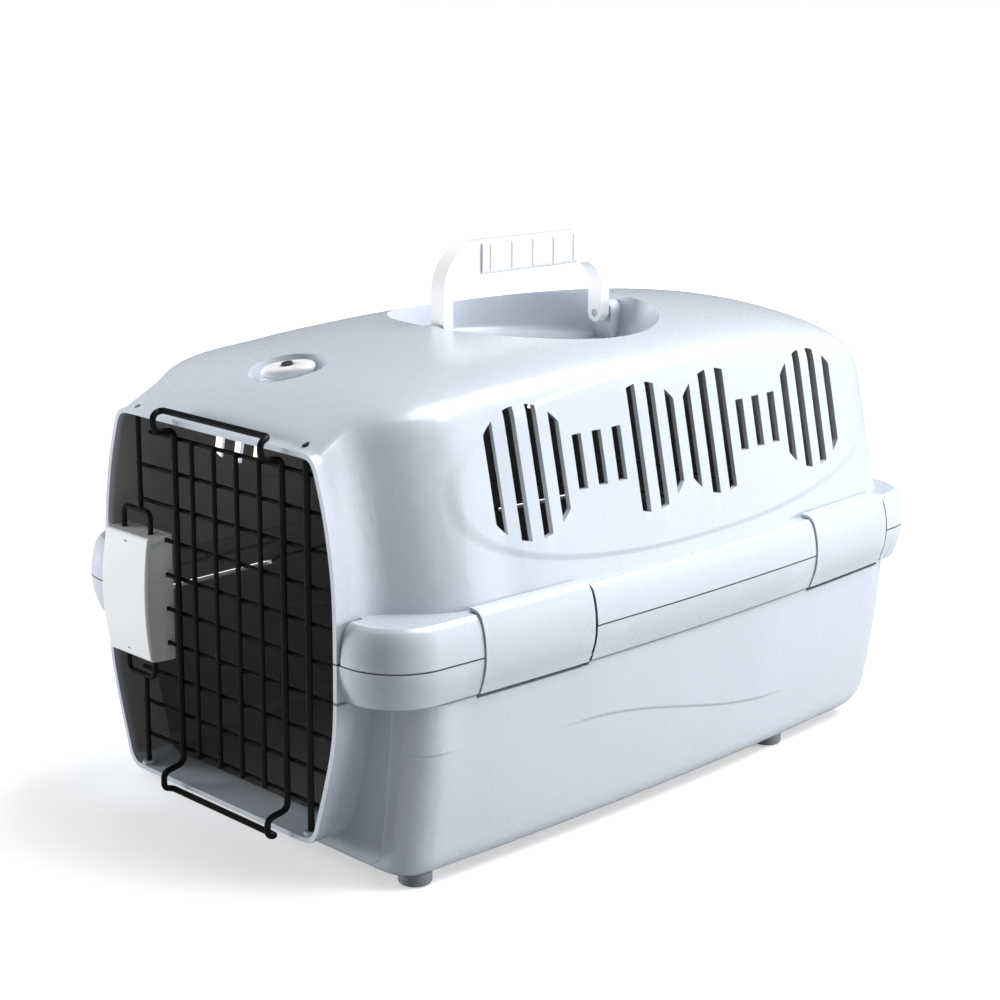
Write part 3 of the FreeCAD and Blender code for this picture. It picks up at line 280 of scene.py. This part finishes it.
def plastic(name, base, roughness, coat, mottle=0.02, grain=0.06, edge_lift=0.35, relief=None):
    """Moulded plastic; a relief marks a shell, which also gets painted shade inside the
    cabin and along the creases.
    """
    tree = MaterialTree(name)
    patches = tree.noise(scale=7.0, detail=2.0)
    mid = tree.noise(scale=46.0, detail=4.0, roughness=0.6)
    fine = tree.noise(scale=900.0, detail=2.0)

    color = tree.mix(tree.rise(patches, (0.2, 0.8)),
                     tint(base, gain=1 - mottle), tint(base, gain=1 + mottle))
    stain = tree.rise(mid, (0.35, 0.85)) * 0.16
    color = tree.mix(stain, color, tint(base, gain=0.95))
    # convex edges a little lighter
    edge = tree.rise(tree.geometry("Pointiness"), (0.515, 0.60))
    color = tree.mix(edge * edge_lift, color, tint(base, gain=1.12, lift=0.03))
    # fine noise adds up to 0.03 of roughness
    roughness = tree.calc("MULTIPLY_ADD", tree.rise(fine, (0.3, 0.7)), 0.03, roughness)

    # grain under a slow swell of the surface
    normal = tree.bump(fine * 0.5 + mid * 0.6, strength=grain, distance=0.0006)
    swell = tree.noise(scale=11.0, detail=1.0, roughness=0.4)
    normal = tree.bump(swell, strength=0.10, distance=0.004, normal=normal)

    if relief:
        normal = relief(tree, normal)
        cabin = cabin_shade_mask(tree)
        # painted shade: the faces inside the cabin are mixed towards a dark grey
        color = tree.mix(cabin, color, CABIN_SHADE)
        roughness = roughness + cabin * 0.15    # the cabin is duller
        # painted shade along the seam, under the belt and on the latch pocket walls
        color = tree.mix(crease_shade_mask(tree), color, CREASE_SHADE)

    tree.feed(tree.bsdf, {
        "Base Color": color, "Roughness": roughness, "IOR": 1.49,
        "Coat Weight": coat, "Coat Roughness": 0.12, "Normal": normal})
    return tree.owner


def metal(name, base, roughness, metallic, spots, grain, edge_lift, specular):
    """Metal or coated wire with fine spots and lighter edges."""
    tree = MaterialTree(name)
    mid = tree.noise(scale=160.0, detail=4.0, roughness=0.6)
    fine = tree.noise(scale=1400.0, detail=2.0)

    # black-to-white ramp squeezed between 0.4 and 0.7 of the noise
    ramp = tree.node("ShaderNodeValToRGB", {0: mid})
    for stop, place in zip(ramp.color_ramp.elements, (0.4, 0.7)):
        stop.position = place
    color = tree.mix(Value(tree, ramp.outputs[0]) * spots, base,
                     tint(base, gain=1.9, lift=0.015))
    edge = tree.rise(tree.geometry("Pointiness"), (0.53, 0.66))
    color = tree.mix(edge * edge_lift, color, tint(base, gain=2.2, lift=0.03))

    tree.feed(tree.bsdf, {
        "Base Color": color,
        # the noise adds up to 0.16 of roughness
        "Roughness": tree.calc("MULTIPLY_ADD", mid, 0.16, roughness),
        "Metallic": metallic, "Specular IOR Level": specular, "Coat Roughness": 0.1,
        "Normal": tree.bump(mid + fine * 0.5, strength=grain, distance=0.0004)})
    return tree.owner


materials = {
    "upper": plastic("plastic_upper", BLUE, roughness=0.27, coat=0.30, relief=upper_relief),
    "lower": plastic("plastic_lower", BLUE, roughness=0.27, coat=0.30, relief=lower_relief),
    "latch": plastic("plastic_latch", LATCH_BLUE, roughness=0.27, coat=0.3),
    "cover": plastic("plastic_cover", (0.86, 0.885, 0.895), roughness=0.30, coat=0.25,
                     mottle=0.025),
    "white": plastic("plastic_white", (0.86, 0.865, 0.872), roughness=0.32, coat=0.2,
                     edge_lift=0.1),
    "black": plastic("plastic_black", (0.02, 0.02, 0.022), roughness=0.35, coat=0.1,
                     mottle=0.2, grain=0.08),
    "wire": metal("wire_coating", (0.004, 0.004, 0.0045), roughness=0.36, metallic=0.0,
                  spots=0.25, grain=0.14, edge_lift=0.0, specular=0.22),
    "steel": metal("steel_plain", (0.55, 0.56, 0.57), roughness=0.30, metallic=1.0,
                   spots=0.3, grain=0.10, edge_lift=0.25, specular=0.5),
    "rubber": plastic("rubber_foot", (0.20, 0.215, 0.235), roughness=0.60, coat=0.0,
                      mottle=0.10, grain=0.30),
}
PART_MATERIALS = {
    "upper_shell": "upper", "lower_shell": "lower", "feet": "rubber",
    "side_latch_front_right": "latch", "side_latch_rear_right": "latch",
    "side_latch_front_left": "latch", "side_latch_rear_left": "latch",
    "side_latch_pins": "steel", "carry_handle": "white",
    "handle_pin_front": "steel", "handle_pin_rear": "steel",
    "brow_knob": "white", "knob_pin": "black",
    "door_mesh": "wire", "door_bail": "wire",
    "upper_latch_bolt": "wire", "lower_latch_bolt": "wire",
    "latch_cover": "cover", "latch_back_plate": "cover", "latch_screws": "steel",
    "upper_latch_spring": "steel", "lower_latch_spring": "steel",
}
for name, part in parts.items():
    part.data.materials.clear()
    part.data.materials.append(materials[PART_MATERIALS[name]])


# ------------------------------------------------ smooth shading of the frame
def smoothing_group():
    """Weld the facets, then shade smooth all but the edges sharper than a limit."""
    weld_distance = 2e-6
    sharp_angle = math.radians(28)
    group = bpy.data.node_groups.new("weld_and_smooth", "GeometryNodeTree")
    for direction in ("INPUT", "OUTPUT"):
        group.interface.new_socket("Geometry", in_out=direction,
                                   socket_type="NodeSocketGeometry")
    source = group.nodes.new("NodeGroupInput")
    result = group.nodes.new("NodeGroupOutput")
    weld = group.nodes.new("GeometryNodeMergeByDistance")
    weld.inputs["Distance"].default_value = weld_distance
    faces = group.nodes.new("GeometryNodeSetShadeSmooth")
    faces.domain = "FACE"
    faces.inputs["Shade Smooth"].default_value = True
    edges = group.nodes.new("GeometryNodeSetShadeSmooth")
    edges.domain = "EDGE"
    angle = group.nodes.new("GeometryNodeInputMeshEdgeAngle")
    is_soft = group.nodes.new("FunctionNodeCompare")
    is_soft.data_type = "FLOAT"
    is_soft.operation = "LESS_THAN"
    is_soft.inputs[1].default_value = sharp_angle

    chain = (source, weld, faces, edges, result)
    for before, after in zip(chain, chain[1:]):
        group.links.new(before.outputs[0], after.inputs[0])
    group.links.new(angle.outputs[0], is_soft.inputs[0])
    group.links.new(is_soft.outputs[0], edges.inputs["Shade Smooth"])
    return group


def shade_smooth(mesh):
    mesh.polygons.foreach_set("use_smooth", [True] * len(mesh.polygons))


smoothing = smoothing_group()
for part in parts.values():
    shade_smooth(part.data)
    part.modifiers.new("weld_and_smooth", "NODES").node_group = smoothing
    normals = part.modifiers.new("normals", "WEIGHTED_NORMAL")
    normals.mode = "FACE_AREA"
    normals.keep_sharp = True
    normals.weight = 60


# --------------------------------------------------------------- added pieces
def add_object(name, data):
    added = bpy.data.objects.new(name, data)
    scene.collection.objects.link(added)
    return added


def mesh_object(name, shape, material):
    """Turn a bmesh into a linked object."""
    mesh = bpy.data.meshes.new(name)
    shape.to_mesh(mesh)
    shape.free()
    mesh.materials.append(material)
    return add_object(name, mesh)


def piece(name, shape, material, body):
    """A smooth product piece that rides on a body."""
    shape.normal_update()
    added = mesh_object(name, shape, material)
    shade_smooth(added.data)
    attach(added, body)
    return added


def door_welds():
    """Flattened weld nugget at each crossing of the door grid."""
    top_z, pitch_z, row_count = 0.2382, 0.0215, 10
    columns_x = (-0.028, -0.007, 0.014, 0.035, 0.077)
    door_y = -0.22075
    half_x, half_y, half_z = 0.0021, 0.0011, 0.0019
    shape = bmesh.new()
    for row in range(row_count):
        z = top_z - pitch_z * row
        for x in columns_x:
            ball = bmesh.ops.create_icosphere(shape, subdivisions=2, radius=1.0)
            for vert in ball["verts"]:
                vert.co = Vector((x + vert.co.x * half_x,
                                  door_y + vert.co.y * half_y,
                                  z + vert.co.z * half_z))
    piece("door_welds", shape, materials["wire"], "door")


def knob():
    """Oval turn knob: a crowned paddle on a round neck, tilted with the bowl."""
    segments = 48
    tilt = Matrix.Rotation(math.radians(12.0), 4, "X")
    turn = Matrix.Rotation(math.radians(44.0), 4, "Z")
    top = Vector((0, -0.172, 0.2826))
    foot = top - tilt @ Vector((0, 0, 1)) * 0.0098
    # (z, radius)
    neck = ((0.0, 0.0075), (0.0002, 0.0083), (0.0022, 0.0083), (0.0030, 0.0070),
            (0.0042, 0.0066))
    # (z, share of the full outline)
    paddle = ((0.0046, 0.86), (0.0056, 0.97), (0.0070, 1.0), (0.0084, 0.985),
              (0.0095, 0.92), (0.0101, 0.80), (0.0103, 0.60), (0.0103, 0.38))
    half_length, half_width = 0.0162, 0.0098
    oval_power = 2 / 2.4            # superellipse with exponent 2.4
    hole_radius, hole_top, hole_bottom = 0.0023, 0.0099, 0.0

    shape = bmesh.new()

    def ring(z, half_x, half_y, power=1.0):
        verts = []
        for k in range(segments):
            angle = 2 * math.pi * k / segments
            along, across = math.cos(angle), math.sin(angle)
            x = half_x * math.copysign(abs(along) ** power, along)
            y = half_y * math.copysign(abs(across) ** power, across)
            verts.append(shape.verts.new((x, y, z)))
        return verts

    rings = [ring(z, radius, radius) for z, radius in neck]
    rings += [ring(z, half_length * share, half_width * share, oval_power)
              for z, share in paddle]
    rings += [ring(z, hole_radius, hole_radius) for z in (hole_top, hole_bottom)]
    # the last ring joins back to the first, closing the underside
    for first, second in zip(rings, rings[1:] + rings[:1]):
        for k in range(segments):
            after = (k + 1) % segments
            shape.faces.new((first[k], first[after], second[after], second[k]))
    bmesh.ops.recalc_face_normals(shape, faces=shape.faces)
    shape.transform(Matrix.Translation(foot) @ tilt @ turn)
    added = piece("knob_paddle", shape, materials["white"], "knob")
    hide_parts("brow_knob")


door_welds()
knob()


# ------------------------------------------------ floor, world, lights, camera
def floor_material():
    """Pale floor that glows towards the distance, but throws back only dull grey light."""
    near_glow, added_glow = 0.40, 0.75
    glow_radii = (0.7, 3.0)
    tree = MaterialTree("floor_pale")
    color = tree.mix(tree.noise(scale=3.0, detail=3.0),
                     (0.93, 0.93, 0.935), (0.95, 0.95, 0.95))
    x, y, z = tree.split(tree.position)
    distance = tree.calc("SQRT", x * x + y * y)
    glow = tree.calc("MULTIPLY_ADD", tree.rise(distance, glow_radii), added_glow, near_glow)
    tree.feed(tree.bsdf, {
        "Base Color": color, "Roughness": 0.75, "Specular IOR Level": 0.1,
        "Emission Color": WHITE, "Emission Strength": glow})
    dull = tree.add("ShaderNodeBsdfDiffuse", {"Color": (0.42, 0.42, 0.425)})
    tree.feed(tree.output, {"Surface": tree.camera_switch(unseen=dull, seen=tree.surface)})
    return tree.owner


def add_floor():
    shape = bmesh.new()
    bmesh.ops.create_grid(shape, x_segments=2, y_segments=2, size=120.0)
    floor = mesh_object("floor", shape, floor_material())
    floor.location = (0, 0, -0.0005)


def add_world():
    """White to the camera, a faint fill light to everything else."""
    world = bpy.data.worlds.new("studio")
    scene.world = world
    tree = ShaderTree(world)
    background = tree.nodes["Background"]
    tree.feed(background, {"Color": WHITE, "Strength": 0.16})
    fill = Value(tree, background.outputs[0])
    backdrop = tree.add("ShaderNodeBackground", {"Color": WHITE})
    tree.feed(tree.nodes["World Output"],
              {"Surface": tree.camera_switch(unseen=fill, seen=backdrop)})


def area_light(name, location, target, size, power, glossy=True):
    """Rectangular lamp of size (width, height) aimed at the target."""
    data = bpy.data.lights.new(name, "AREA")
    data.shape = "RECTANGLE"
    data.size, data.size_y = size
    data.energy = power
    lamp = add_object(name, data)
    lamp.location = location
    aim = Vector(target) - Vector(location)
    lamp.rotation_euler = aim.to_track_quat("-Z", "Y").to_euler()
    lamp.visible_glossy = glossy


def add_camera():
    """Long lens from the front on the +X side, looking slightly down."""
    yaw, pitch, roll = (math.radians(angle) for angle in (45.2, 13.9, 0.5))
    back = Vector((math.sin(yaw) * math.cos(pitch),
                   -math.cos(yaw) * math.cos(pitch),
                   math.sin(pitch)))
    level_right = Vector((math.cos(yaw), math.sin(yaw), 0))
    level_up = back.cross(level_right)
    right = level_right * math.cos(roll) + level_up * math.sin(roll)
    up = -level_right * math.sin(roll) + level_up * math.cos(roll)
    pose = Matrix((right, up, back)).transposed().to_4x4()
    pose.translation = Vector((0.93033, -0.92267, 0.50071))

    data = bpy.data.cameras.new("camera")
    data.sensor_width = 36.0
    data.lens = 74.3184
    data.shift_x = 0.0035
    data.shift_y = -0.0067
    data.clip_start = 0.05
    data.clip_end = 50
    camera = add_object("camera", data)
    camera.matrix_world = pose
    scene.camera = camera


add_floor()
add_world()
area_light("top", location=(0.7, 0.9, 2.1), target=(0, 0.05, 0.15),
           size=(2.0, 1.6), power=74)
area_light("side_right_rear", location=(2.1, 1.9, 0.5), target=(0.1, 0.05, 0.12),
           size=(2.0, 0.9), power=60, glossy=False)
area_light("front_left", location=(-2.4, -1.5, 0.4), target=(-0.05, -0.2, 0.14),
           size=(1.4, 0.8), power=105, glossy=False)
area_light("sheen", location=(2.4, 2.0, 1.0), target=(0.1, 0.05, 0.15),
           size=(2.6, 1.8), power=10)
add_camera()
scene.view_settings.view_transform = "Standard"
